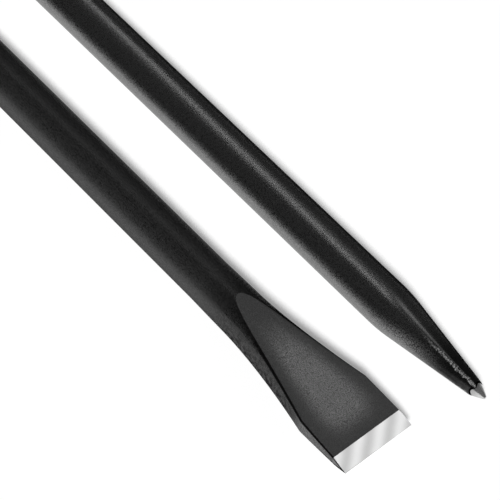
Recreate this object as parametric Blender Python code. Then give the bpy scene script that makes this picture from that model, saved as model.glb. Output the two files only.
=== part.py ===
"""A pair of round forged crowbars lying side by side, head to tail.

Each bar is one length of round steel. One end is drawn out into a flat
chisel blade that flares wider than the shank. The other end is drawn down
to a square point with rounded corners. The whole bar is black, except for
the cutting edge and the tip of the point, which are ground bare.

Lengths are in metres and +Z is up. The bars lie along X on the plane z = 0.
The chisel_forward bar has its blade towards +X and lies on the -Y side. The
point_forward bar is the same bar turned half round about Z.
"""

import math

import bmesh
import bpy
from mathutils import Matrix

# Driving dimensions: the bar
BAR_LENGTH = 1.2000
BAR_DIAMETER = 0.0300

# Driving dimensions: the chisel end, measured back from its cutting edge
BLADE_WIDTH = 0.0515
BLADE_LENGTH = 0.0395
FLARE_LENGTH = 0.0805
SQUARING_LENGTH = 0.0300
FACET_LENGTH = 0.1252
BEVEL_LENGTH = 0.0106
BEVEL_THICKNESS = 0.0070
EDGE_THICKNESS = 0.0004

# Driving dimensions: the point end, measured back from its tip
POINT_LENGTH = 0.0780
POINT_BLEND = 0.0080
NECK_DIAMETER = 0.0107
TIP_LENGTH = 0.0096
TIP_WIDTH = 0.0014

# Driving dimensions: how the pair lies
CLEARANCE_BETWEEN = 0.0312
POINT_LEAD = 0.0138
FINISH_GAP = 0.0003

# Shape of the forging: 2 is a true ellipse, and more is squarer
ROUND_POWER = 2.0
BLADE_POWER = 2.72
POINT_POWER = 5.5
FLARE_CURVE = 1.67
SQUARE_CURVE = 1.5
POINT_TURN = math.radians(25.0)

# Fineness of the mesh
RING_SIDES = 48
FLARE_RINGS = 18
POINT_RINGS = 14
END_RINGS = 3
CUTTER_MARGIN = 0.020

# Sizes that follow from the ones above
RADIUS = BAR_DIAMETER / 2
HALF_BLADE = BLADE_WIDTH / 2
HALF_SPACING = (HALF_BLADE + CLEARANCE_BETWEEN + RADIUS) / 2
HALF_PAIR_LENGTH = (BAR_LENGTH + POINT_LEAD) / 2
BLADE_END_X = HALF_PAIR_LENGTH - POINT_LEAD
FLARE_START = BLADE_LENGTH + FLARE_LENGTH
SQUARING_START = FLARE_START + SQUARING_LENGTH

COLLECTION_NAME = "crowbar"
CUTTER_COLLECTION_NAME = "crowbar_cutters"


def clear_scene():
    for old in list(bpy.data.objects):
        bpy.data.objects.remove(old)


def new_collection(name):
    collection = bpy.data.collections.new(name)
    bpy.context.scene.collection.children.link(collection)
    return collection


def make_material(name, colour, roughness, metallic):
    material = bpy.data.materials.new(name)
    material.use_nodes = True
    shader = material.node_tree.nodes["Principled BSDF"]
    shader.inputs["Base Color"].default_value = (*colour, 1.0)
    shader.inputs["Roughness"].default_value = roughness
    shader.inputs["Metallic"].default_value = metallic
    return material


def spread(low, high, count):
    """Evenly spaced values from low to high, with both ends."""
    return [low + (high - low) * step / (count - 1) for step in range(count)]


def ramp(value, start, end):
    """0 at start, 1 at end and in between along a straight line."""
    return min(max((value - start) / (end - start), 0.0), 1.0)


def signed_power(value, exponent):
    return math.copysign(abs(value) ** exponent, value)


def blade_half_width(back):
    """Half the width of the chisel end at a distance back from its edge."""
    grown = ramp(back, FLARE_START, BLADE_LENGTH)
    return RADIUS + (HALF_BLADE - RADIUS) * grown ** FLARE_CURVE


def blade_power(back):
    """The hammered shank turns from round to squarer before it flares."""
    missing = 1.0 - ramp(back, SQUARING_START, BLADE_LENGTH)
    return ROUND_POWER + (BLADE_POWER - ROUND_POWER) * (1.0 - missing ** 2)


def blade_ring(back):
    """The section of the chisel end before its flats are forged."""
    half_width = blade_half_width(back)
    exponent = 2.0 / blade_power(back)
    ring = []
    for side in range(RING_SIDES):
        angle = 2.0 * math.pi * side / RING_SIDES
        y = half_width * signed_power(math.cos(angle), exponent)
        z = RADIUS * signed_power(math.sin(angle), exponent)
        ring.append((y, z))
    return ring


def point_radius(back):
    """Radius over the ridges of the point, with a soft start to the taper."""
    slope = (RADIUS - NECK_DIAMETER / 2) / (POINT_LENGTH - TIP_LENGTH)
    inside = POINT_LENGTH - back
    if inside < POINT_BLEND:
        inside = max(inside + POINT_BLEND, 0.0) ** 2 / (4 * POINT_BLEND)
    return RADIUS - slope * inside


def point_ring(back):
    """A rounded square, turned by POINT_TURN from the plane of the blade."""
    squareness = ramp(back, POINT_LENGTH + POINT_BLEND, TIP_LENGTH) ** SQUARE_CURVE
    power = ROUND_POWER + (POINT_POWER - ROUND_POWER) * squareness
    flat_radius = point_radius(back) / ridge_ratio(power)
    ring = []
    for side in range(RING_SIDES):
        angle = 2.0 * math.pi * side / RING_SIDES
        across = abs(math.cos(angle - POINT_TURN)) ** power
        up = abs(math.sin(angle - POINT_TURN)) ** power
        radius = flat_radius * (across + up) ** (-1.0 / power)
        ring.append((radius * math.cos(angle), radius * math.sin(angle)))
    return ring


def ridge_ratio(power):
    """How much further a rounded square reaches on its ridge than its flat."""
    return 2.0 ** (0.5 - 1.0 / power)


def loft(name, rings):
    """A closed solid through rings given as (x, [(y, z), ...]) in order of
    falling x. The sections are all unlike, so the skin is laid ring by ring."""
    mesh = bpy.data.meshes.new(name)
    bm = bmesh.new()
    rows = [[bm.verts.new((x, y, z)) for y, z in ring] for x, ring in rings]
    for near, far in zip(rows, rows[1:]):
        for side in range(RING_SIDES):
            after = (side + 1) % RING_SIDES
            bm.faces.new((near[side], near[after], far[after], far[side]))
    bm.faces.new(list(reversed(rows[0])))
    bm.faces.new(rows[-1])
    bmesh.ops.recalc_face_normals(bm, faces=bm.faces)
    bm.to_mesh(mesh)
    bm.free()
    return mesh


def add_object(name, mesh, collection, parent, material=None):
    part = bpy.data.objects.new(name, mesh)
    part.parent = parent
    collection.objects.link(part)
    if material:
        mesh.materials.append(material)
    return part


def add_cutter(name, mesh, collection, parent):
    cutter = add_object(name, mesh, collection, parent)
    cutter.hide_render = True
    cutter.display_type = "WIRE"
    return cutter


def wedge_cutter_mesh(name, front_height, back, back_height):
    """Two blocks that leave a wedge of metal between them. Half its thickness
    is front_height at x = 0 and back_height at the given distance back."""
    mesh = bpy.data.meshes.new(name)
    bm = bmesh.new()
    slope = math.atan2(back_height - front_height, back)
    size = back + 2 * CUTTER_MARGIN
    for up in (1, -1):
        block = Matrix.Diagonal((size, BLADE_WIDTH + 2 * CUTTER_MARGIN, size, 1.0))
        seat = Matrix.Translation((CUTTER_MARGIN - size / 2, 0.0, up * size / 2))
        tilt = Matrix.Rotation(up * slope, 4, "Y")
        place = Matrix.Translation((0.0, 0.0, up * front_height))
        bmesh.ops.create_cube(bm, size=1.0, matrix=place @ tilt @ seat @ block)
    bm.to_mesh(mesh)
    bm.free()
    return mesh


def pyramid_mesh(name):
    """The block that the four ground faces of the tip leave: a pyramid with
    its base towards the shank, lined up with the flats of the point."""
    mesh = bpy.data.meshes.new(name)
    bm = bmesh.new()
    base = NECK_DIAMETER / 2 / ridge_ratio(POINT_POWER)
    corner = math.sqrt(2.0)
    bmesh.ops.create_cone(bm, cap_ends=True, segments=4, depth=TIP_LENGTH,
                          radius1=base * corner, radius2=TIP_WIDTH / 2 * corner)
    towards_tip = Matrix.Rotation(math.radians(-90.0), 4, "Y")
    square_up = Matrix.Rotation(math.radians(45.0) + POINT_TURN, 4, "X")
    place = Matrix.Translation((TIP_LENGTH / 2 - BAR_LENGTH, 0.0, 0.0))
    bm.transform(place @ square_up @ towards_tip)
    bm.to_mesh(mesh)
    bm.free()
    return mesh


def cut(part, cutter, operation):
    modifier = part.modifiers.new(operation.lower(), "BOOLEAN")
    modifier.operation = operation
    modifier.object = cutter


def smooth(part):
    part.data.shade_smooth()
    part.data.set_sharp_from_angle(angle=math.radians(25.0))


def forging_rings():
    """Sections of the black bar, from behind the ground edge to the neck."""
    blade_front = BEVEL_LENGTH + FINISH_GAP
    chisel = [blade_front]
    chisel += spread(BLADE_LENGTH, SQUARING_START, FLARE_RINGS)
    rings = [(-back, blade_ring(back)) for back in chisel]
    point = spread(POINT_LENGTH + POINT_BLEND, TIP_LENGTH + FINISH_GAP, POINT_RINGS)
    rings += [(back - BAR_LENGTH, point_ring(back)) for back in point]
    return rings


def facet_front_height():
    """Half thickness that the forged flats would reach at the edge itself."""
    half_bevel = BEVEL_THICKNESS / 2
    slope = (RADIUS - half_bevel) / (FACET_LENGTH - BEVEL_LENGTH)
    return half_bevel - slope * BEVEL_LENGTH


def add_forging(prefix, bar, parts, cutters, coating):
    """Shank, flared blade and square point: the whole black forging."""
    part = add_object(prefix + "_bar", loft(prefix + "_bar", forging_rings()),
                      parts, bar, coating)
    smooth(part)
    mesh = wedge_cutter_mesh("facets", facet_front_height(), FACET_LENGTH, RADIUS)
    cut(part, add_cutter(prefix + "_facets", mesh, cutters, bar), "DIFFERENCE")
    return part


def add_cutting_edge(prefix, bar, parts, cutters, steel):
    """The bare wedge at the front of the blade, ground from both sides."""
    rings = [(-back, blade_ring(back)) for back in spread(0.0, BEVEL_LENGTH, END_RINGS)]
    part = add_object(prefix + "_cutting_edge", loft(prefix + "_cutting_edge", rings),
                      parts, bar, steel)
    mesh = wedge_cutter_mesh("bevels", EDGE_THICKNESS / 2, BEVEL_LENGTH, BEVEL_THICKNESS / 2)
    cut(part, add_cutter(prefix + "_bevels", mesh, cutters, bar), "DIFFERENCE")
    return part


def add_tip(prefix, bar, parts, cutters, steel):
    """The bare end of the point, ground to a blunt four-sided pyramid."""
    rings = [(back - BAR_LENGTH, point_ring(back)) for back in spread(TIP_LENGTH, 0.0, END_RINGS)]
    part = add_object(prefix + "_tip", loft(prefix + "_tip", rings), parts, bar, steel)
    cutter = add_cutter(prefix + "_pyramid", pyramid_mesh("pyramid"), cutters, bar)
    cut(part, cutter, "INTERSECT")
    return part


def add_bar(prefix, blade_x, y, turn, parts, cutters, coating, steel):
    """One whole crowbar, built back from its cutting edge along its own -X."""
    bar = bpy.data.objects.new(prefix, None)
    bar.location = (blade_x, y, RADIUS)
    bar.rotation_euler.z = turn
    parts.objects.link(bar)
    add_forging(prefix, bar, parts, cutters, coating)
    add_cutting_edge(prefix, bar, parts, cutters, steel)
    add_tip(prefix, bar, parts, cutters, steel)


def main():
    clear_scene()
    parts = new_collection(COLLECTION_NAME)
    cutters = new_collection(CUTTER_COLLECTION_NAME)
    coating = make_material("black_coating", (0.012, 0.012, 0.012), 0.45, 0.0)
    steel = make_material("ground_steel", (0.62, 0.62, 0.62), 0.30, 1.0)
    add_bar("chisel_forward", BLADE_END_X, -HALF_SPACING, 0.0,
            parts, cutters, coating, steel)
    add_bar("point_forward", -BLADE_END_X, HALF_SPACING, math.pi,
            parts, cutters, coating, steel)


main()
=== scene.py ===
# %% [markdown]
# # A pair of crowbars
#
# This lesson dresses a pair of forged steel crowbars, made as a CAD model, for a studio picture. A
# crowbar of this kind is one round steel bar. A smith draws one end out into a wide flat chisel and
# the other into a square point. The bar is coated black all over, and then the chisel's edge and
# the very tip are ground bare. Two such bars lie side by side, head to tail.
#
# The CAD model is loaded as a fixed frame. It says where everything is, in metres. This file builds
# finer pieces in the same places and gives them their finishes. Nothing here changes a size.

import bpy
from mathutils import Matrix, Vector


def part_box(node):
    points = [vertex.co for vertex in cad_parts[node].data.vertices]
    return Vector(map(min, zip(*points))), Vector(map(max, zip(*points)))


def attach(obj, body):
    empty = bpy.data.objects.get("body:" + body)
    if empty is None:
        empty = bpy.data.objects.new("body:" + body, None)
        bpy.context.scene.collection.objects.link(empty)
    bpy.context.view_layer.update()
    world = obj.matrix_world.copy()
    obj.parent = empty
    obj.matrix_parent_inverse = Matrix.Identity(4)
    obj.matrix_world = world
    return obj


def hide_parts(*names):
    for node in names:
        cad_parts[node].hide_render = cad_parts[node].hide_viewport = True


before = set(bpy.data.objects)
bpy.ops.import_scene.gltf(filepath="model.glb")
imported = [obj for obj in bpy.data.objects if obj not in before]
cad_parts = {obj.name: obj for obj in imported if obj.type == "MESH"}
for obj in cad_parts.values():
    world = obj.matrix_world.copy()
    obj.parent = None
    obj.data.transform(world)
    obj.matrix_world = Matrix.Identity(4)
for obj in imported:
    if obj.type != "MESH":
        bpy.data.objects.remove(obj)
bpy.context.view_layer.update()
print("CAD nodes:", ", ".join(sorted(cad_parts)))

# %% The modules that every later cell uses
from math import asin, atan2, copysign, cos, hypot, pi, radians, sin

import bmesh
import bpy
from mathutils import Matrix, Vector

scene = bpy.context.scene
scene.view_settings.view_transform = "Standard"
print("View transform:", scene.view_settings.view_transform)

# %% [markdown]
# ## Camera
#
# The picture is taken from above the two working ends with a long lens, so the bars hardly narrow
# with distance. A camera is aimed more safely with directions than with angles typed into its
# rotation: one direction from the subject to the camera, and one turn about that line. The camera's
# matrix has its right, up and backward directions as columns.

# %% Aim the camera
FRAME_PIXELS = 500
LENS_PIXELS = 2600
SENSOR = 36.0
CAMERA_AZIMUTH = radians(44.512)
CAMERA_ELEVATION = radians(54.39)
CAMERA_ROLL = radians(5.638)
CAMERA_DISTANCE = 1.56585
CAMERA_TARGET = Vector((0.44126, -0.002085, 0.015))
CAMERA_REACH = 50

backward = Vector((sin(CAMERA_AZIMUTH) * cos(CAMERA_ELEVATION),
                   -cos(CAMERA_AZIMUTH) * cos(CAMERA_ELEVATION),
                   sin(CAMERA_ELEVATION)))
level = Vector((0, 0, 1)).cross(backward).normalized()
upright = backward.cross(level)
right = level * cos(CAMERA_ROLL) + upright * sin(CAMERA_ROLL)
up = upright * cos(CAMERA_ROLL) - level * sin(CAMERA_ROLL)

camera_data = bpy.data.cameras.new("camera")
camera_data.sensor_width = SENSOR
camera_data.sensor_fit = "HORIZONTAL"
camera_data.lens = LENS_PIXELS * SENSOR / FRAME_PIXELS
camera_data.clip_end = CAMERA_REACH
camera = bpy.data.objects.new("camera", camera_data)
camera_turn = Matrix((right, up, backward)).transposed().to_4x4()
camera.matrix_world = Matrix.Translation(CAMERA_TARGET + backward * CAMERA_DISTANCE) @ camera_turn
scene.collection.objects.link(camera)
scene.camera = camera
print("Lens of", round(camera_data.lens, 1), "mm")

# %% [markdown]
# ## Shader maths written as Python
#
# A procedural finish is arithmetic on places: how far along the bar, how far inside a flat. Wiring
# Math nodes one by one hides that arithmetic. So a small class wraps a socket, and each Python
# operator on it adds the Math node that does the same. Every other node comes from one function,
# which sets the node's options first and then fills or links its sockets.

# %% A socket that takes part in arithmetic
def add_node(tree, kind, options=None, sockets=None, output=0):
    """A node of this kind. Returns one of its outputs, as a Wired, where it has any."""
    node = tree.nodes.new(kind)
    for option, value in (options or {}).items():
        setattr(node, option, value)
    for socket, value in (sockets or {}).items():
        if isinstance(value, Wired):
            tree.links.new(value.socket, node.inputs[socket])
        else:
            node.inputs[socket].default_value = value
    return Wired(tree, node.outputs[output]) if node.outputs else None


class Wired:
    """A node's output. Arithmetic on it adds Math nodes."""

    def __init__(self, tree, socket):
        self.tree = tree
        self.socket = socket

    def maths(self, operation, *values):
        return add_node(self.tree, "ShaderNodeMath", {"operation": operation},
                        dict(enumerate(values)))

    def __add__(self, other):
        return self.maths("ADD", self, other)

    def __radd__(self, other):
        return self.maths("ADD", other, self)

    def __sub__(self, other):
        return self.maths("SUBTRACT", self, other)

    def __rsub__(self, other):
        return self.maths("SUBTRACT", other, self)

    def __mul__(self, other):
        return self.maths("MULTIPLY", self, other)

    def __rmul__(self, other):
        return self.maths("MULTIPLY", other, self)

    def __truediv__(self, other):
        return self.maths("DIVIDE", self, other)

    def __rtruediv__(self, other):
        return self.maths("DIVIDE", other, self)

    def __neg__(self):
        return self.maths("MULTIPLY", self, -1.0)

    def __abs__(self):
        return self.maths("ABSOLUTE", self)

    def cosine(self):
        return self.maths("COSINE", self)

    def rising(self, start, end):
        """0 before start, 1 after end and a smooth rise between them. start may be the larger."""
        return add_node(self.tree, "ShaderNodeMapRange", {"interpolation_type": "SMOOTHSTEP"},
                        {"Value": self, "From Min": start, "From Max": end})


def grey(level):
    """A colour with this much of red, green and blue."""
    return level, level, level, 1.0


def mixed(factor, first, second):
    """The first colour where factor is 0, and the second where it is 1."""
    return add_node(factor.tree, "ShaderNodeMix", {"data_type": "RGBA"},
                    {0: factor, 6: first, 7: second}, output=2)


def blended(factor, first, second):
    """The first shader where factor is 0, and the second where it is 1."""
    return add_node(first.tree, "ShaderNodeMixShader", None, {0: factor, 1: first, 2: second})


def noise(place, scale, detail=2.0, roughness=0.5):
    """Noise from 0 to 1, with scale lumps to a metre."""
    return add_node(place.tree, "ShaderNodeTexNoise", None,
                    {"Vector": place, "Scale": scale, "Detail": detail, "Roughness": roughness})


print("Operators ready: + - * / and abs")

# %% [markdown]
# ## Floor and light
#
# The bars lie on a plain white sheet. Their only shadow is a narrow soft band on one side, so the
# main light stands close to the camera and a little lower than it. A sun lamp with a wide disc does
# that and lights the whole pair evenly. The black coating shows hardly any of that light: it shows
# what it mirrors, as all dark glossy things do. So each highlight gets a soft box of its own, which
# stands where the highlight's mirror direction points and lights only reflections. A soft box that
# also lit the floor would throw a second shadow. Light linking keeps a box to the pieces it is
# meant for, because the others would mirror it in the wrong place. The bare cutting edges also
# mirror a dim ceiling, so that they look like steel from every side.
#
# The side of a bar that faces away from the camera mirrors the floor behind it and would be white.
# A black card lies there, as in a studio, and only reflections see it.
#
# The floor's own colour is pale. Where the camera, or a reflection, looks at it, some light is
# added, so that it reaches white and the shadow stays.

# %% The world and the floor
WORLD_LEVEL = 0.05
FLOOR_COLOUR = grey(0.80)
FLOOR_LIFT = 0.30
FLOOR_SIZE = 30.0

world = bpy.data.worlds.new("studio")
scene.world = world
world.use_nodes = True
world.node_tree.nodes.clear()
seen = add_node(world.node_tree, "ShaderNodeLightPath")
studio = add_node(world.node_tree, "ShaderNodeBackground", None,
                  {"Color": mixed(seen, grey(WORLD_LEVEL), grey(1.0))})
add_node(world.node_tree, "ShaderNodeOutputWorld", None, {"Surface": studio})

sheet_bm = bmesh.new()
bmesh.ops.create_grid(sheet_bm, x_segments=1, y_segments=1, size=FLOOR_SIZE / 2)
floor_mesh = bpy.data.meshes.new("floor")
sheet_bm.to_mesh(floor_mesh)
sheet_bm.free()
floor = bpy.data.objects.new("floor", floor_mesh)
scene.collection.objects.link(floor)

floor_paint = bpy.data.materials.new("white_floor")
floor_paint.use_nodes = True
tree = floor_paint.node_tree
tree.nodes.clear()
rays = add_node(tree, "ShaderNodeLightPath").socket.node.outputs
looked_at = (Wired(tree, rays["Is Camera Ray"]) + Wired(tree, rays["Is Glossy Ray"])
             + Wired(tree, rays["Is Transmission Ray"]))
matt = add_node(tree, "ShaderNodeBsdfDiffuse", None, {"Color": FLOOR_COLOUR})
lift = add_node(tree, "ShaderNodeEmission", None, {"Strength": looked_at * FLOOR_LIFT})
both = add_node(tree, "ShaderNodeAddShader", None, {0: matt, 1: lift})
add_node(tree, "ShaderNodeOutputMaterial", None, {"Surface": both})
floor_mesh.materials.append(floor_paint)
print("Floor", FLOOR_SIZE, "m wide")

# %% How to add a lamp and a soft box
def add_lamp(name, kind, place, target, **settings):
    """A lamp that looks from place to target."""
    data = bpy.data.lights.new(name, kind)
    for setting, value in settings.items():
        setattr(data, setting, value)
    lamp = bpy.data.objects.new(name, data)
    facing = (place - target).to_track_quat("Z", "Y").to_matrix().to_4x4()
    lamp.matrix_world = Matrix.Translation(place) @ facing
    lamp.visible_camera = False
    scene.collection.objects.link(lamp)
    return lamp


# A soft box lights the pieces in one of these collections.
lit_pieces = {name: bpy.data.collections.new("lit_" + name)
              for name in ("chisel_forward", "point_forward", "cutting_edge")}


def add_soft_box(name, group, level, width, start, end, target):
    """A strip of light from start to end, as bright as level, that faces the target.

    Only the pieces in this group mirror it.
    """
    along = (end - start).normalized()
    centre = (start + end) / 2
    across = (centre - target).cross(along).normalized()
    length = (end - start).length
    box = add_lamp(name, "AREA", centre, target, shape="RECTANGLE", size=length, size_y=width,
                   energy=level * pi * width * length)
    facing = Matrix((along, across, along.cross(across))).transposed().to_4x4()
    box.matrix_world = Matrix.Translation(centre) @ facing
    box.visible_diffuse = False
    box.data.use_shadow = False
    box.light_linking.receiver_collection = lit_pieces[group]


print("Groups that mirror boxes of their own:", ", ".join(lit_pieces))

# %% The black card
CARD_LOW_Y = 0.0605
CARD_HIGH_Y = 1.5
CARD_END_X = 0.588
CARD_LENGTH = 3.0
CARD_HEIGHT = 0.0005
CARD_BLACK = grey(0.01)

card_bm = bmesh.new()
card_place = Matrix.Translation((CARD_END_X - CARD_LENGTH / 2, (CARD_LOW_Y + CARD_HIGH_Y) / 2,
                                 CARD_HEIGHT))
card_place = card_place @ Matrix.Diagonal((CARD_LENGTH / 2, (CARD_HIGH_Y - CARD_LOW_Y) / 2, 1, 1))
bmesh.ops.create_grid(card_bm, x_segments=1, y_segments=1, size=1, matrix=card_place)
card_mesh = bpy.data.meshes.new("black_card")
card_bm.to_mesh(card_mesh)
card_bm.free()
paper = bpy.data.materials.new("black_card")
paper.use_nodes = True
paper.node_tree.nodes["Principled BSDF"].inputs["Base Color"].default_value = CARD_BLACK
card_mesh.materials.append(paper)
card = bpy.data.objects.new("black_card", card_mesh)
for kind_of_ray in ("camera", "diffuse", "transmission", "shadow"):
    setattr(card, "visible_" + kind_of_ray, False)
scene.collection.objects.link(card)
print("Black card of", CARD_LENGTH, "by", CARD_HIGH_Y - CARD_LOW_Y, "m")

# %% The main light and the soft boxes
SUN_TOWARDS = Vector((0.66, -0.66, 1.0))
SUN_STRENGTH = 3.6
SUN_WIDTH = radians(9.4)
BOX_HEIGHT = 1.6
LOW_BOX_HEIGHT = 0.11
CEILING_HEIGHT = 2.0
NEAR_Y = -0.036
FAR_Y = 0.036
BAR_MIDDLE = 0.015
BAR_TOP = 0.030

sun = add_lamp("main_light", "SUN", SUN_TOWARDS, Vector(), energy=SUN_STRENGTH, angle=SUN_WIDTH)
sun.visible_glossy = False
add_soft_box("box_over_point_forward", "point_forward", level=3.5, width=0.10,
             start=Vector((-1.28, 1.76, BOX_HEIGHT)), end=Vector((0.12, -0.16, BOX_HEIGHT)),
             target=Vector((0.36, FAR_Y, BAR_TOP)))
add_soft_box("box_over_chisel_forward", "chisel_forward", level=1.2, width=0.36,
             start=Vector((-1.10, 0.50, BOX_HEIGHT)), end=Vector((0.30, 0.50, BOX_HEIGHT)),
             target=Vector((0.36, NEAR_Y, BAR_TOP)))
add_soft_box("box_beside_tip", "point_forward", level=0.48, width=0.28,
             start=Vector((0.42, 1.51, LOW_BOX_HEIGHT)), end=Vector((1.22, 1.51, LOW_BOX_HEIGHT)),
             target=Vector((0.607, FAR_Y, BAR_MIDDLE)))
add_soft_box("box_over_edge", "chisel_forward", level=1.32, width=0.80,
             start=Vector((0.37, 0.74, BOX_HEIGHT)), end=Vector((1.27, 0.74, BOX_HEIGHT)),
             target=Vector((0.593, NEAR_Y, BAR_MIDDLE)))
add_soft_box("box_over_point", "point_forward", level=1.25, width=0.45,
             start=Vector((0.25, 0.74, BOX_HEIGHT)), end=Vector((0.75, 0.74, BOX_HEIGHT)),
             target=Vector((0.58, FAR_Y, BAR_MIDDLE)))
add_soft_box("ceiling_over_edges", "cutting_edge", level=0.60, width=8.0,
             start=Vector((-4, 0, CEILING_HEIGHT)), end=Vector((4, 0, CEILING_HEIGHT)),
             target=Vector())

# %% [markdown]
# ## The forging as a rule
#
# The bar is drawn in its own coordinates first. X runs along it with the cutting edge at 0 and the
# tip far down the negative side, Y is across the blade, and Z is up from the bar's axis. A smith
# starts with a plain round bar and pushes the steel about with the hammer. The same can be done to
# a mesh: start with a round bar that has enough vertices and move each one by a rule that knows how
# far along the bar it is and where on its circle. The rule below repeats the forms of the CAD
# model: a ring that widens and grows squarer towards the blade, and one that shrinks towards the
# point and becomes a square with round corners. The corners are rounder than the CAD model's,
# because a fine smooth mesh can show how softly a hammer leaves them.

# %% Sizes of one bar
MM = 1000
BAR_LENGTH = 1.2000
RADIUS = 0.0150
HALF_BLADE = 0.0515 / 2
BLADE_LENGTH = 0.0395
FLARE_START = BLADE_LENGTH + 0.0805
SQUARING_START = FLARE_START + 0.0300
FLAT_LENGTH = 0.1252
BEVEL_LENGTH = 0.0106
HALF_BEVEL = 0.0070 / 2
HALF_EDGE = 0.0004 / 2
FLAT_SLOPE = (RADIUS - HALF_BEVEL) / (FLAT_LENGTH - BEVEL_LENGTH)
BEVEL_SLOPE = (HALF_BEVEL - HALF_EDGE) / BEVEL_LENGTH

POINT_LENGTH = 0.0780
POINT_BLEND = 0.0080
TIP_LENGTH = 0.0096
NECK_RADIUS = 0.0107 / 2
POINT_SLOPE = (RADIUS - NECK_RADIUS) / (POINT_LENGTH - TIP_LENGTH)

BLADE_POWER = 2.72
POINT_POWER = 3.2
FLARE_CURVE = 1.67
POINT_TURN = radians(25)
TIP_POWER = 3.0
TIP_HALF_END = 0.00088
TIP_GROUND = 0.0083
TIP_CURVE = 0.90
print("Flats at", round(FLAT_SLOPE, 3), "and bevel at", round(BEVEL_SLOPE, 3), "to the axis")

# %% The rule for the blade end
BORDER_PACKING = 1.6
SIDE_SHARE = 0.15
STEEPNESS_LIMIT = 1.6
TINY = 1e-9


def part_of(value, start, end):
    """How far value is from start to end, from 0 to 1."""
    return min(max((value - start) / (end - start), 0.0), 1.0)


def half_width(back):
    """Half the width across the blade, this far back from the edge."""
    flared = part_of(back, FLARE_START, BLADE_LENGTH) ** FLARE_CURVE
    return RADIUS + (HALF_BLADE - RADIUS) * flared


def blade_power(back):
    """How square the blade's ring is. Power 2 is round, and a high power is square."""
    squared = 1 - (1 - part_of(back, SQUARING_START, BLADE_LENGTH)) ** 2
    return 2 + (BLADE_POWER - 2) * squared


def packed_turn(back, turn, border):
    """A quarter ring's vertices move closer together near the border of the flat."""
    packing = 1 + (BORDER_PACKING - 1) * part_of(back, SQUARING_START, FLAT_LENGTH)
    share = border + SIDE_SHARE * (pi / 2 - border)
    if turn <= share:
        return border * (1 - (1 - turn / share) ** packing)
    return border + (pi / 2 - border) * ((turn - share) / max(pi / 2 - share, TINY)) ** packing


def forge_blade(back, angle, flat_height, rounding):
    """Where the round bar's vertex at this angle goes, as (across, up, how far inside the flat)."""
    power = blade_power(back)
    width = half_width(back)
    flat_height = min(flat_height, RADIUS)
    border = asin(min((flat_height / RADIUS) ** (power / 2), 1.0))
    turn = packed_turn(back, atan2(abs(sin(angle)), abs(cos(angle))), border)
    across = width * max(cos(turn), 0.0) ** (2 / power)
    up = RADIUS * sin(turn) ** (2 / power)
    flat_edge = width * cos(border) ** (2 / power)
    inside = flat_edge - across if up > flat_height else up - flat_height
    steepness = (RADIUS / width) ** power * (flat_edge / flat_height) ** (power - 1)
    softness = rounding * min(steepness, STEEPNESS_LIMIT) + TINY
    rounded = max(softness - abs(up - flat_height), 0.0) ** 2 / (4 * softness)
    pressed = min(up, flat_height) - rounded
    return copysign(across, cos(angle)), copysign(pressed, sin(angle)), inside


print("Blade", round(2 * half_width(0) * MM, 1), "mm wide")

# %% The rule for the point end
RIDGE_CROWDING = 0.55


def point_radius(back):
    """The bar's radius over the ridges, this far back from the tip."""
    inside = POINT_LENGTH - back
    if abs(inside) < POINT_BLEND:
        inside = (inside + POINT_BLEND) ** 2 / (4 * POINT_BLEND)
    return RADIUS - POINT_SLOPE * max(inside, 0.0)


def square_ring(angle, power):
    """The radius of a ring that is 1 across its flats, and as square as its power is high."""
    turned = angle - POINT_TURN
    return (abs(cos(turned)) ** power + abs(sin(turned)) ** power) ** (-1 / power)


def point_ring(back, angle):
    """The radius of the point's ring at this angle."""
    power = 2 + (POINT_POWER - 2) * part_of(back, POINT_LENGTH + POINT_BLEND, TIP_LENGTH)
    return point_radius(back) / 2 ** (0.5 - 1 / power) * square_ring(angle, power)


def forge_point(back, angle):
    """Where the round bar's vertex at this angle goes on the point's ring, as (across, up)."""
    crowd = RIDGE_CROWDING * part_of(back, POINT_LENGTH + POINT_BLEND, TIP_LENGTH)
    angle += crowd / 4 * sin(4 * (angle - POINT_TURN))
    radius = point_ring(back, angle)
    return radius * cos(angle), radius * sin(angle)


def ridge_distance(v):
    """How far round the ring this vertex is from the nearest ridge."""
    turn = (atan2(v.co.z, v.co.y) - POINT_TURN) % (pi / 2) - pi / 4
    return hypot(v.co.y, v.co.z) * abs(turn)


print("Neck", round(2 * point_radius(TIP_LENGTH) * MM, 1), "mm over the ridges")

# %% [markdown]
# ## From round stock to forging
#
# Round stock is one cylinder, lying along X. Its long edges are subdivided, finely where the smith
# works it and coarsely along the shank, which stays round. With 216 sides a column of vertices
# falls on each ridge of the point. The blade's flats are pressed: a vertex that stands above the
# flat's plane comes down to it, and the corner beside it is left a little round, as a hammer leaves
# it. The rule brings the vertices close together at that corner, so that it stays a clean line.
#
# Each vertex also keeps two numbers, in metres. inside_flat is how far inside the border of its
# flat it is, and less than nothing outside it. from_ridge is how far it is from the nearest ridge
# of the point. The finishes use them to stop the paint at a border, and to wear it off the ridges
# and paint a highlight along them.

# %% Tools that work the stock
RING_SIDES = 216
CREASE = radians(24)
CUT_TOLERANCE = 1e-7


def cut_along(bm, point, normal):
    bmesh.ops.bisect_plane(bm, geom=bm.verts[:] + bm.edges[:] + bm.faces[:], dist=CUT_TOLERANCE,
                           plane_co=point, plane_no=normal)


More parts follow.
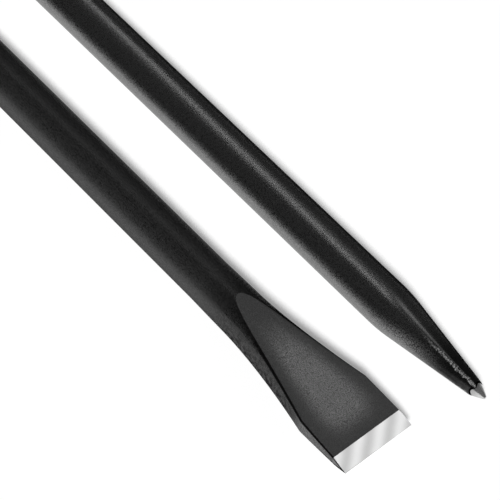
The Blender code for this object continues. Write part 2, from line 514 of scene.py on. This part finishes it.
def round_stock(start, end, zones):
    """A round bar between two distances from the cutting edge, with rings of vertices.

    Each zone is (end of the zone, rings in it).
    """
    bm = bmesh.new()
    lying = Matrix.Translation(((-start - end) / 2, 0, 0)) @ Matrix.Rotation(pi / 2, 4, "Y")
    bmesh.ops.create_cone(bm, cap_ends=True, segments=RING_SIDES, radius1=RADIUS, radius2=RADIUS,
                          depth=end - start, matrix=lying)
    for zone_end, _ in zones[:-1]:
        cut_along(bm, (-zone_end, 0, 0), (1, 0, 0))
    zone_start = start
    for zone_end, rings in zones:
        middle = -(zone_start + zone_end) / 2
        along = [e for e in bm.edges
                 if min(v.co.x for v in e.verts) < middle < max(v.co.x for v in e.verts)]
        bmesh.ops.subdivide_edges(bm, edges=along, cuts=rings - 1)
        zone_start = zone_end
    bm.verts.layers.float.new("inside_flat")
    bm.verts.layers.float.new("from_ridge")
    return bm


def to_piece_mesh(bm, name):
    """The finished mesh: faces outwards, smooth over its curves and sharp at its creases."""
    bmesh.ops.recalc_face_normals(bm, faces=bm.faces)
    for f in bm.faces:
        f.smooth = True
    for e in bm.edges:
        e.smooth = e.calc_face_angle(0.0) < CREASE
    mesh = bpy.data.meshes.new(name)
    bm.to_mesh(mesh)
    bm.free()
    return mesh


print("Stock of", RING_SIDES, "sides")

# %% Forge the coated bar
FORGED_ROUNDING = 0.0014
BLADE_RINGS = 124
SHANK_RINGS = 36
POINT_RINGS = 84


def forged_bar():
    point_start = BAR_LENGTH - POINT_LENGTH - POINT_BLEND
    point_end = BAR_LENGTH - TIP_LENGTH
    bm = round_stock(BEVEL_LENGTH, point_end, [(SQUARING_START, BLADE_RINGS),
                                               (point_start, SHANK_RINGS),
                                               (point_end, POINT_RINGS)])
    inside = bm.verts.layers.float["inside_flat"]
    from_ridge = bm.verts.layers.float["from_ridge"]
    for v in bm.verts:
        back = -v.co.x
        angle = atan2(v.co.z, v.co.y)
        v[inside] = -RADIUS
        v[from_ridge] = RADIUS
        if back < SQUARING_START:
            flat_height = HALF_BEVEL + FLAT_SLOPE * (back - BEVEL_LENGTH)
            v.co.y, v.co.z, v[inside] = forge_blade(back, angle, flat_height, FORGED_ROUNDING)
        elif back > point_start:
            v.co.y, v.co.z = forge_point(BAR_LENGTH - back, angle)
            v[from_ridge] = ridge_distance(v)
    return to_piece_mesh(bm, "forged_bar")


bar_mesh = forged_bar()
print("Forged bar:", len(bar_mesh.polygons), "faces")

# %% [markdown]
# ## The cutting edge
#
# Once the bar is coated, the two faces of the blade's end are ground to a wedge on a wheel. The
# grinding takes the coat off the wedge and leaves it on the narrow sides. So the wedge is a piece
# of its own, made from the same stock by the same rule, with steeper flats. The round corner beside
# the flat shrinks towards the edge, where the wheel has taken the most away.

# %% Grind the cutting edge
EDGE_RINGS = 24
EDGE_ROUNDING = 0.08
ROUNDING_CURVE = 6


def ground_edge():
    bm = round_stock(0.0, BEVEL_LENGTH, [(BEVEL_LENGTH, EDGE_RINGS)])
    inside = bm.verts.layers.float["inside_flat"]
    from_ridge = bm.verts.layers.float["from_ridge"]
    for v in bm.verts:
        back = -v.co.x
        v[from_ridge] = RADIUS
        flat_height = HALF_EDGE + BEVEL_SLOPE * back
        kept = EDGE_ROUNDING + (1 - EDGE_ROUNDING) * (back / BEVEL_LENGTH) ** ROUNDING_CURVE
        v.co.y, v.co.z, v[inside] = forge_blade(back, atan2(v.co.z, v.co.y), flat_height,
                                                FORGED_ROUNDING * kept)
    return to_piece_mesh(bm, "ground_edge")


edge_mesh = ground_edge()
print("Cutting edge:", len(edge_mesh.polygons), "faces")

# %% [markdown]
# ## The tip
#
# The tip is ground as a blunt pyramid with four sides, in line with the four sides of the point. A
# wheel leaves the sides of so small a thing a little round, so the pyramid's ring is a soft square
# too. Each vertex of the stock that stands outside that ring comes in to it. The paint runs on down
# the four ridges in small tongues, and a cosine round the ring draws that scalloped border.

# %% Grind the tip
PAINT_BORDER = 0.0076
PAINT_SCALLOP = 0.0008
TIP_RINGS = 40


def ground_tip():
    neck = point_ring(TIP_GROUND, POINT_TURN)
    bm = round_stock(BAR_LENGTH - TIP_LENGTH, BAR_LENGTH, [(BAR_LENGTH, TIP_RINGS)])
    inside = bm.verts.layers.float["inside_flat"]
    from_ridge = bm.verts.layers.float["from_ridge"]
    for v in bm.verts:
        back = BAR_LENGTH + v.co.x
        angle = atan2(v.co.z, v.co.y)
        v.co.y, v.co.z = forge_point(back, angle)
        angle = atan2(v.co.z, v.co.y)
        half = TIP_HALF_END + (neck - TIP_HALF_END) * (back / TIP_GROUND) ** TIP_CURVE
        ground = half * square_ring(angle, TIP_POWER)
        cut = min(ground / hypot(v.co.y, v.co.z), 1.0)
        v.co.y *= cut
        v.co.z *= cut
        v[inside] = PAINT_BORDER + PAINT_SCALLOP * cos(4 * (angle - POINT_TURN)) - back
        v[from_ridge] = ridge_distance(v)
    return to_piece_mesh(bm, "ground_tip")


tip_mesh = ground_tip()
print("Tip:", len(tip_mesh.polygons), "faces")

# %% [markdown]
# ## The black coating
#
# The coating is a thin baked paint over rolled and hammered steel. It is almost black, with a fine
# grain that breaks its highlights up into specks. Where the smith worked the bar it is blacker and
# glossier, with matt patches. On the blade's flats it is a little paler. That is partly a finish of
# their own and partly a painted sheen for the light that the flats mirror. The pale middle of each
# flat is a painted highlight. The ridges of the point are worn, and their pale grey also paints in
# the ridges' speckled highlight. Two bars are never coated quite alike, so each bar has its own
# roughness, index and grain. Along its rims it has its own dullness, which is how matt the coat is
# there. Along one rim it has pale dots painted into the coat, as a painted reflection of the floor
# there. The dots are tied to a place on the bar and not to the direction that it is seen from, so
# that they stay a narrow strip from every side.
#
# The finish is worked out in the bar's own coordinates. The object itself stays at the origin, so a
# Mapping node of the Texture type undoes the bar's place and turn.

# %% Paints, and where a finish is on its bar
FORGED_ROUGHNESS = 0.15
FORGED_INDEX = 1.5


def new_finish(name):
    """An empty material, as (material, its node tree)."""
    material = bpy.data.materials.new(name)
    material.use_nodes = True
    material.node_tree.nodes.clear()
    return material, material.node_tree


def principled(tree, **inputs):
    """A Principled shader. Its sockets' names are written with underscores."""
    return add_node(tree, "ShaderNodeBsdfPrincipled", None,
                    {name.replace("_", " "): value for name, value in inputs.items()})


def matt_paint(tree, colour):
    """Paint that mirrors nothing."""
    return principled(tree, Base_Color=colour, Roughness=1.0, Specular_IOR_Level=0.0)


def forged_paint(tree, colour, **inputs):
    """Paint as it is where the smith worked the bar."""
    return principled(tree, Base_Color=colour, Roughness=FORGED_ROUGHNESS, IOR=FORGED_INDEX,
                      **inputs)


def on_bar(tree, bar):
    """The place on the bar, as (vector, distance back from the edge, across, up)."""
    place = add_node(tree, "ShaderNodeTexCoord", None, None, "Object")
    place = add_node(tree, "ShaderNodeMapping", {"vector_type": "TEXTURE"},
                     {"Vector": place, "Location": bar["origin"], "Rotation": (0, 0, bar["turn"])})
    parts = add_node(tree, "ShaderNodeSeparateXYZ", None, {"Vector": place}).socket.node.outputs
    return place, -Wired(tree, parts[0]), Wired(tree, parts[1]), Wired(tree, parts[2])


def mesh_number(tree, name):
    """One of the two numbers that each vertex keeps."""
    return add_node(tree, "ShaderNodeAttribute", {"attribute_name": name}, None, "Fac")


print("Forged paint has roughness", FORGED_ROUGHNESS, "and index", FORGED_INDEX)

# %% [markdown]
# Paint goes first where things touch, on the ridges of the point. A worn ridge has a chipped
# outline, so noise is added to the distance from the ridge before the border is drawn, and finer
# noise leaves scratches of paint inside it. The pale grey there is worn paint and also a painted
# highlight along the ridges. The blade's narrow sides get a pale grey too, which is a painted
# reflection of the floor, fading out towards the edge. Each border and each fade below is a pair of
# values. The effect is absent at the first and complete at the second.

# %% Wear, and painted highlights and reflections
# Painted light: this pale grey is the painted highlight in the middle of each flat, and the painted
# reflection of the floor on the blade's narrow sides.
PAINTED_HIGHLIGHT_GREY = grey(0.150)
# Worn paint on the ridges, whose pale grey is also a painted highlight along them.
WEAR_AND_SHEEN_GREY = grey(0.24)
CHIP_SCALE = 700.0
CHIP_BORDER = (0.46, 0.60)
RIDGE_HALF_WIDTH = 0.0008
RIDGE_SHARPNESS = 200.0
SCRATCH_SCALE = 1700.0
SCRATCH_BORDER = (0.30, 0.70)
SCRATCH_LOW = 0.2
SCRATCH_GAIN = 0.9
CORNER_BORDER = (-0.0020, -0.0010)
# The narrow sides' pale grey is a painted reflection of the floor that they face.
SIDE_HIGHLIGHT = 0.52
SIDE_FADE = (0.048, 0.036)


def ridge_wear_and_sheen(tree, place):
    """1 where the ridges of the point are rubbed down to the steel, with a chipped outline.

    The same mask carries a painted highlight along the ridges.
    """
    chips = noise(place, CHIP_SCALE, roughness=0.7)
    scratches = noise(place, SCRATCH_SCALE, detail=0.0).rising(*SCRATCH_BORDER)
    near = RIDGE_SHARPNESS * (RIDGE_HALF_WIDTH - mesh_number(tree, "from_ridge"))
    return (chips + near).rising(*CHIP_BORDER) * (SCRATCH_LOW + SCRATCH_GAIN * scratches)


def matt_corner(flat):
    """1 on the rounded corner beside a flat, and 0 from two millimetres below it."""
    return flat.rising(*CORNER_BORDER)


def side_highlight(flat, back):
    """How much pale grey the blade's narrow sides get, as a painted reflection of the floor."""
    return SIDE_HIGHLIGHT * back.rising(*SIDE_FADE) * (1 - matt_corner(flat))


print("Narrow sides rubbed up to", SIDE_FADE[0] * MM, "mm from the edge")

# %% [markdown]
# The colour starts as black with specks, and the other greys are painted over it one by one, each
# through its own mask. Some of those greys are painted highlights and reflections. Two paints carry
# that colour: the shank's own, and the glossier one of the forged ends. Matt paint is mixed in
# where the coat is dull, and the painted reflection of the floor along one rim comes last.

# %% Mix the coating
COAT_BLACK = grey(0.0)
COAT_SPECK = grey(0.017)
FORGED_BLACK = grey(0.002)
# The flats' grey is partly their own paler finish and partly a painted sheen of the light they
# mirror.
FLAT_TONE_AND_SHEEN_GREY = grey(0.034)
# Pale dots along one rim: a painted reflection of the floor.
PAINTED_RIM_GREY = grey(0.43)
GRAIN_SCALE = 2200.0
GRAIN_BORDER = (0.39, 0.61)
GRAIN_ROUGHNESS = 0.02
DENT_SCALE = 260.0
DENT_SHARE = 1.2
MOTTLE_SCALE = 400.0
MOTTLE_BORDER = (0.38, 0.62)
MOTTLE_FADE = (0.040, 0.060)
MOTTLE_SHARE = 0.28
FORGED_COVER = 0.8
FLAT_COVER = 0.5
HIGHLIGHT_COVER = 0.20
SIDE_COVER = 0.4
HIGHLIGHT_GAIN = 1.2
FLAT_BORDER = (0.0001, 0.0006)
FORGED_BLADE_FADE = (0.150, 0.110)
FORGED_POINT_FADE = (0.065, 0.025)
WEAR_AND_SHEEN_POINT_FADE = (0.055, 0.030)
HIGHLIGHT_MIDDLE_FADE = (0.14, 0.80)
HIGHLIGHT_FAR_FADE = (0.108, 0.060)
HIGHLIGHT_NEAR_FADE = (0.013, 0.034)
GRAZING_FADE = (0.25, 0.80)
CORNER_FADE = (0.118, 0.080)
PAINTED_RIM_FADE = (0.0095, 0.0020)


def black_coating(bar):
    material, tree = new_finish("black_coating_" + bar["name"])
    place, back, across, up = on_bar(tree, bar)
    flat = mesh_number(tree, "inside_flat")
    from_tip = BAR_LENGTH - back
    on_flat = flat.rising(*FLAT_BORDER)
    off_flat = 1 - on_flat
    worked = back.rising(*FORGED_BLADE_FADE) + from_tip.rising(*FORGED_POINT_FADE)
    forged = worked * off_flat
    grain = noise(place, GRAIN_SCALE, detail=0.0).rising(*GRAIN_BORDER)
    dents = noise(place, DENT_SCALE, detail=1.0)
    mottle = noise(place, MOTTLE_SCALE, roughness=0.6).rising(*MOTTLE_BORDER)
    mottle *= back.rising(*MOTTLE_FADE)
    # Worn ridges, partly real wear and partly a painted highlight along the ridges.
    wear_and_sheen = ridge_wear_and_sheen(tree, place) * from_tip.rising(*WEAR_AND_SHEEN_POINT_FADE)
    middle = flat / (flat + abs(across))
    # Painted highlight: the paler middle of each flat stands in for the light that the flat
    # mirrors.
    highlighted = middle.rising(*HIGHLIGHT_MIDDLE_FADE) * back.rising(*HIGHLIGHT_FAR_FADE)
    highlighted *= back.rising(*HIGHLIGHT_NEAR_FADE)
    # Painted reflection: pale grey on the blade's narrow sides for the floor that they mirror.
    side = side_highlight(flat, back) * off_flat

    colour = mixed(grain, COAT_BLACK, COAT_SPECK)
    colour = mixed(FORGED_COVER * forged, colour, FORGED_BLACK)
    # The flats' paler grey: partly their own finish, partly a painted sheen.
    colour = mixed(on_flat * (FLAT_COVER + grain), colour, FLAT_TONE_AND_SHEEN_GREY)
    on_grains = HIGHLIGHT_GAIN * grain
    colour = mixed(on_flat * highlighted * (HIGHLIGHT_COVER + on_grains), colour, PAINTED_HIGHLIGHT_GREY)
    colour = mixed(side * (SIDE_COVER + on_grains), colour, PAINTED_HIGHLIGHT_GREY)
    colour = mixed(wear_and_sheen, colour, WEAR_AND_SHEEN_GREY)
    bump = add_node(tree, "ShaderNodeBump", None, {"Strength": 1.0, "Distance": bar["grain"],
                                                   "Height": grain + DENT_SHARE * forged * dents})
    shank_coat = principled(tree, Base_Color=colour, IOR=bar["index"], Normal=bump,
                            Roughness=bar["roughness"] + GRAIN_ROUGHNESS * (grain - 0.5))
    coat = blended(forged, shank_coat, forged_paint(tree, colour, Normal=bump))

    grazing = add_node(tree, "ShaderNodeLayerWeight", None, None, "Facing").rising(*GRAZING_FADE)
    corner = matt_corner(flat) * off_flat * back.rising(*CORNER_FADE)
    matt = bar["dull"] * grazing + corner + MOTTLE_SHARE * forged * mottle
    coat = blended(matt, coat, matt_paint(tree, colour))

    # Painted reflection: pale dots along the rim that faces the floor's bright reflection.
    bloomed = abs(up).rising(*PAINTED_RIM_FADE) * across.rising(0.0, bar["bloom_side"])
    bloomed *= 1 - forged - on_flat
    bloom = add_node(tree, "ShaderNodeBsdfDiffuse", None, {"Color": PAINTED_RIM_GREY})
    coat = blended(bar["bloom"] * bloomed * grain, coat, bloom)
    add_node(tree, "ShaderNodeOutputMaterial", None, {"Surface": coat})
    return material


print("Grain lumps", round(MM / GRAIN_SCALE, 2), "mm apart")

# %% [markdown]
# ## Bare ground steel
#
# Ground steel is bright and grey. The wheel leaves it slightly wavy, and a soft box mirrored in it
# shows as slanted light and dark stripes, some 17 mm apart. Those stripes are painted into the
# steel's colour here, as a painted reflection. Finer marks run the same way. A perfect metal is
# black wherever it mirrors a dark part of the studio, but the wheel's scratches scatter light every
# way. So Metallic is below 1 here, which keeps a matt share. Where the wedge's sides and the
# tongues on the tip kept their coat, the same shader turns back into black paint, with the same
# painted greys as the coating.

# %% Mix the ground steel
STEEL_DARK = grey(0.42)
STEEL_BRIGHT = grey(0.68)
STRIPE_PITCH = 0.0172
STRIPE_SLANT = 1.18
STRIPE_SHIFT = 0.006
STRIPE_WANDER = 0.002
STRIPE_SHARE = 0.75
WANDER_SCALE = 90.0
MARK_SCALE = 2500.0
MARK_STRETCH = 0.05
MARK_STRENGTH = 0.15
MARK_DEPTH = 0.00005
MARK_ROUGHNESS = 0.1
BARE_BORDER = (-0.00003, 0.00005)
TONGUE_FADE = (0.0068, 0.0084)


def ground_steel(bar, piece, roughness, metallic):
    material, tree = new_finish("ground_steel_" + piece + "_" + bar["name"])
    place, back, across, up = on_bar(tree, bar)
    flat = mesh_number(tree, "inside_flat")
    slanted = across + STRIPE_SLANT * (BEVEL_LENGTH - back)
    wander = STRIPE_WANDER * (noise(place, WANDER_SCALE) - 0.5)
    # Painted reflection: slanted stripes of a mirrored soft box, painted into the colour.
    reflection_waves = (2 * pi / STRIPE_PITCH * (slanted + STRIPE_SHIFT + wander)).cosine()
    reflection_stripes = reflection_waves * 0.5 + 0.5
    wheel_place = add_node(tree, "ShaderNodeCombineXYZ", None,
                           {0: slanted, 1: MARK_STRETCH * back, 2: up})
    marks = noise(wheel_place, MARK_SCALE)
    colour = mixed(STRIPE_SHARE * reflection_stripes + (1 - STRIPE_SHARE) * marks, STEEL_DARK, STEEL_BRIGHT)
    bump = add_node(tree, "ShaderNodeBump", None,
                    {"Strength": MARK_STRENGTH, "Distance": MARK_DEPTH, "Height": marks})
    steel = principled(tree, Base_Color=colour, Metallic=metallic, Normal=bump,
                       Roughness=roughness + MARK_ROUGHNESS * (marks - 0.5))

    # The tongues' ridges: worn paint that is also a painted highlight.
    wear_and_sheen = ridge_wear_and_sheen(tree, place) * (BAR_LENGTH - back).rising(*TONGUE_FADE)
    black = mixed(wear_and_sheen, FORGED_BLACK, WEAR_AND_SHEEN_GREY)
    # The wedge's coated sides get the same painted reflection of the floor.
    black = mixed(side_highlight(flat, back), black, PAINTED_HIGHLIGHT_GREY)
    paint = blended(matt_corner(flat), forged_paint(tree, black), matt_paint(tree, black))
    surface = blended(flat.rising(*BARE_BORDER), paint, steel)
    add_node(tree, "ShaderNodeOutputMaterial", None, {"Surface": surface})
    return material


print("Stripes every", round(STRIPE_PITCH * MM, 1), "mm")

# %% [markdown]
# ## Lay the two bars down
#
# The pieces were made once, in one bar's own coordinates. Each bar takes a copy, turned and moved
# to where the CAD model has it, with that place in the mesh. The lowest and highest corners of the
# CAD nodes say where: each cutting edge is at the far end of its node, and the axis is in its
# middle.

# %% Place the pieces
def bar_place(name, turn, **coat):
    """Where a bar's cutting edge is, from the box of its CAD node, and the numbers of its coat."""
    low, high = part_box(name + "_cutting_edge")
    end = high.x if turn == 0 else low.x
    origin = (end, (low.y + high.y) / 2, (low.z + high.z) / 2)
    return {"name": name, "turn": turn, "origin": origin, **coat}


def lay_piece(bar, mesh, word, node, material):
    """A copy of the mesh, placed on this bar instead of its CAD node."""
    place = Matrix.Translation(bar["origin"]) @ Matrix.Rotation(bar["turn"], 4, "Z")
    placed = mesh.copy()
    placed.name = bar["name"] + "_" + word
    placed.transform(place)
    placed.materials.clear()
    placed.materials.append(material)
    piece = bpy.data.objects.new(placed.name, placed)
    scene.collection.objects.link(piece)
    for group in (bar["name"], node):
        if group in lit_pieces:
            lit_pieces[group].objects.link(piece)
    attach(piece, bar["name"])
    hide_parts(bar["name"] + "_" + node)


def lay_bar(bar):
    lay_piece(bar, bar_mesh, "forged_bar", "bar", black_coating(bar))
    lay_piece(bar, edge_mesh, "ground_edge", "cutting_edge",
              ground_steel(bar, "edge", roughness=0.34, metallic=0.55))
    lay_piece(bar, tip_mesh, "ground_tip", "tip",
              ground_steel(bar, "tip", roughness=0.25, metallic=0.90))
    print(bar["name"], "has its cutting edge at", tuple(round(n, 4) for n in bar["origin"]))


lay_bar(bar_place("chisel_forward", 0, roughness=0.38, index=1.6, grain=0.00009, dull=0.70,
                  bloom=0.06, bloom_side=-0.008))
lay_bar(bar_place("point_forward", pi, roughness=0.28, index=2.3, grain=0.000008, dull=0.10,
                  bloom=0.42, bloom_side=0.008))
